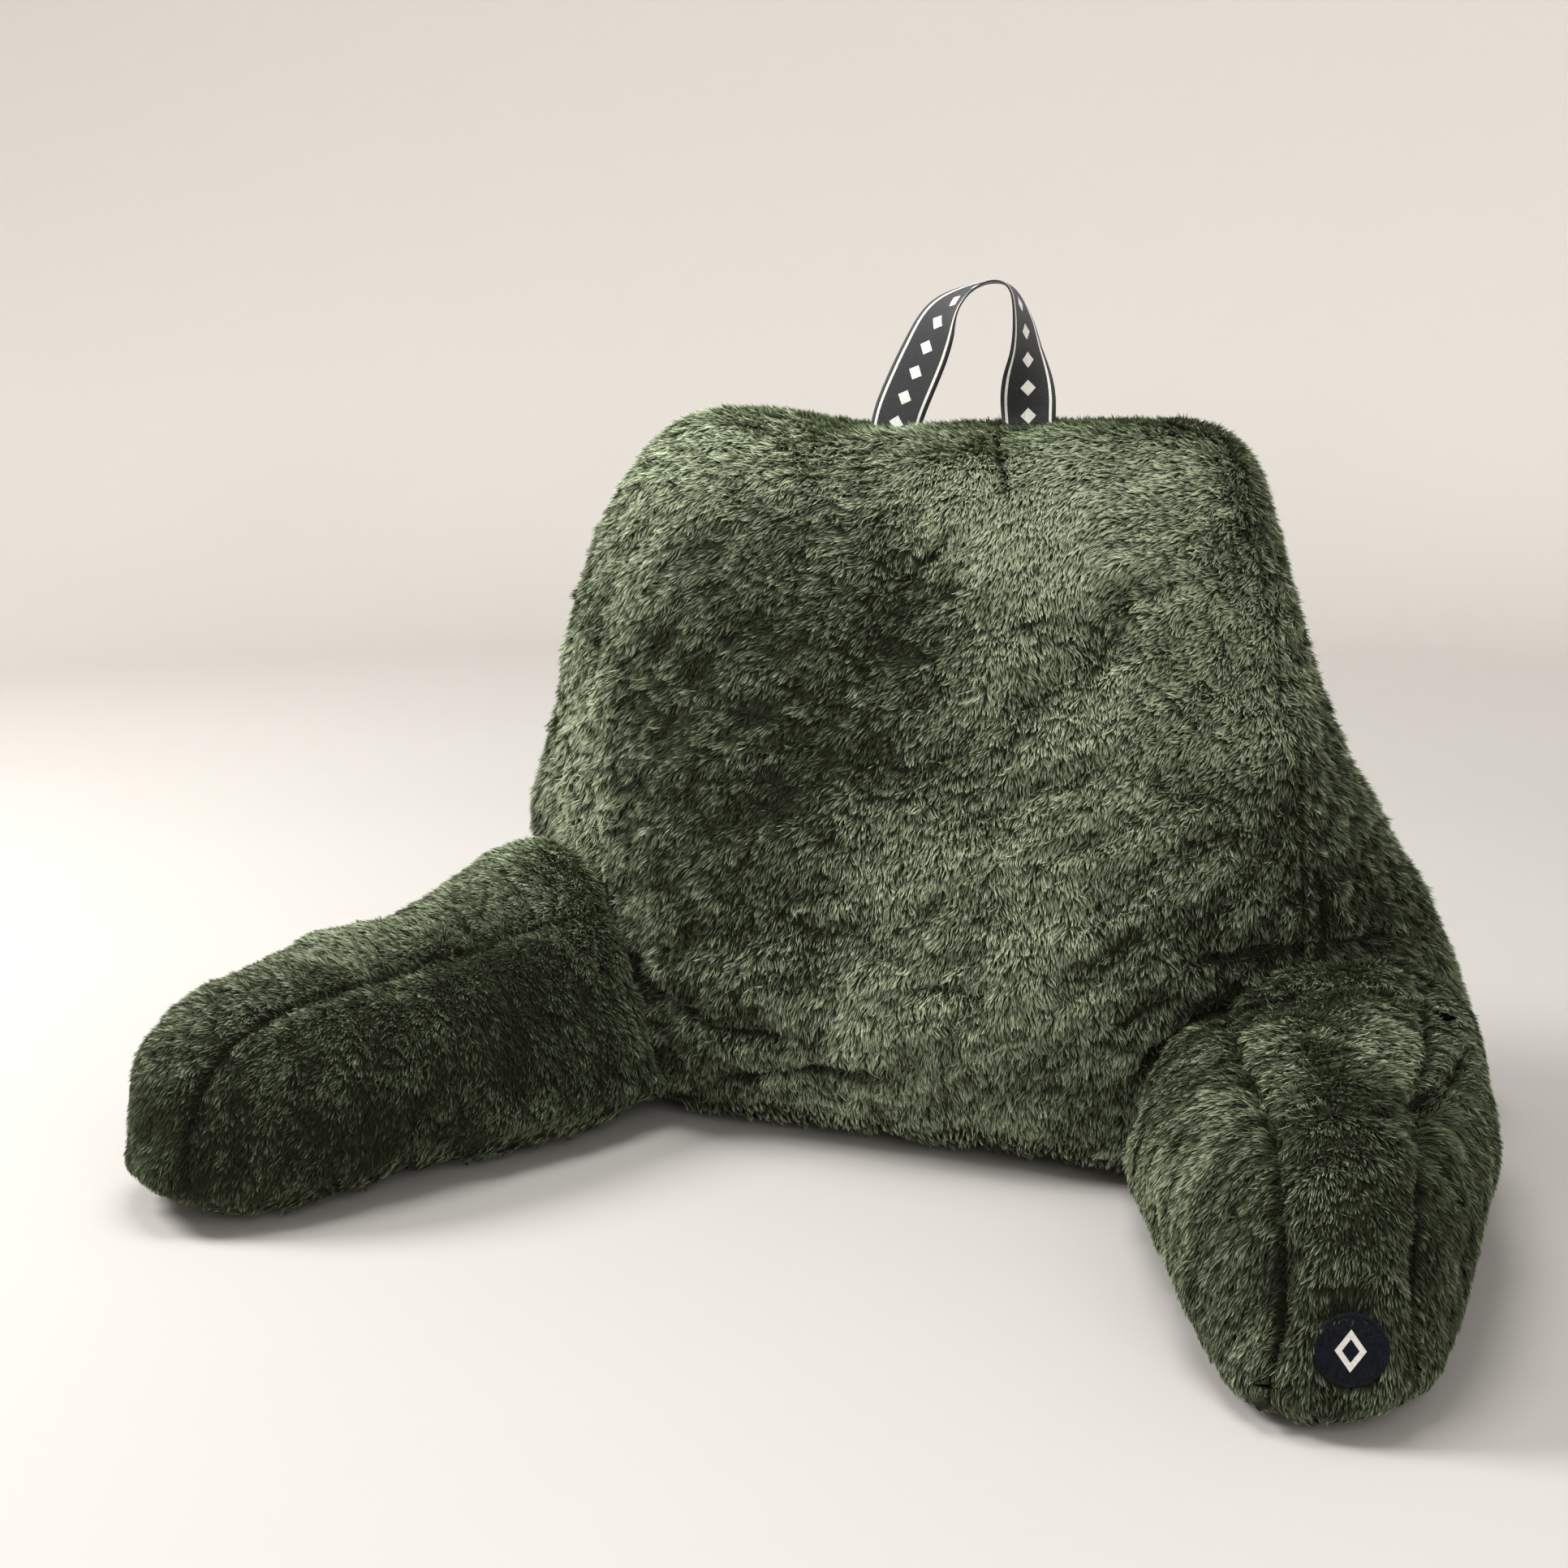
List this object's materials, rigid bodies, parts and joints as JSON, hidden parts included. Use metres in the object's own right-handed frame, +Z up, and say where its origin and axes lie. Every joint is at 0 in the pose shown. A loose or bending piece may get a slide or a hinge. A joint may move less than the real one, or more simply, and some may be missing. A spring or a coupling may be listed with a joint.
{
  "type": "reading pillow with arms",
  "caption": "Filled plush back cushion, wedge-shaped, with a boxed arm cushion at each front corner, a twisted webbing carrying loop on top and a round woven patch on one arm.",
  "frame": {"origin": "middle of the back cushion's flat underside, on the surface that the pillow stands on", "axes": "+Z up; -Y is the way that someone leaning on the pillow faces, and the arms reach that way; +X is to the right of someone facing the front"},
  "size_m": [0.7991, 0.615, 0.556],
  "materials": {
    "pile": "soft clumped plush pile, dark at the roots and pale green at the tips",
    "webbing": "flat woven polyester webbing, black with a white line inside each edge",
    "patch": "dense woven badge cloth, matt"
  },
  "bodies": {
    "root": {"back_cushion": "pile", "arm_right": "pile", "arm_left": "pile", "carrying_loop": "webbing", "patch": "patch"}
  },
  "joints": []
}
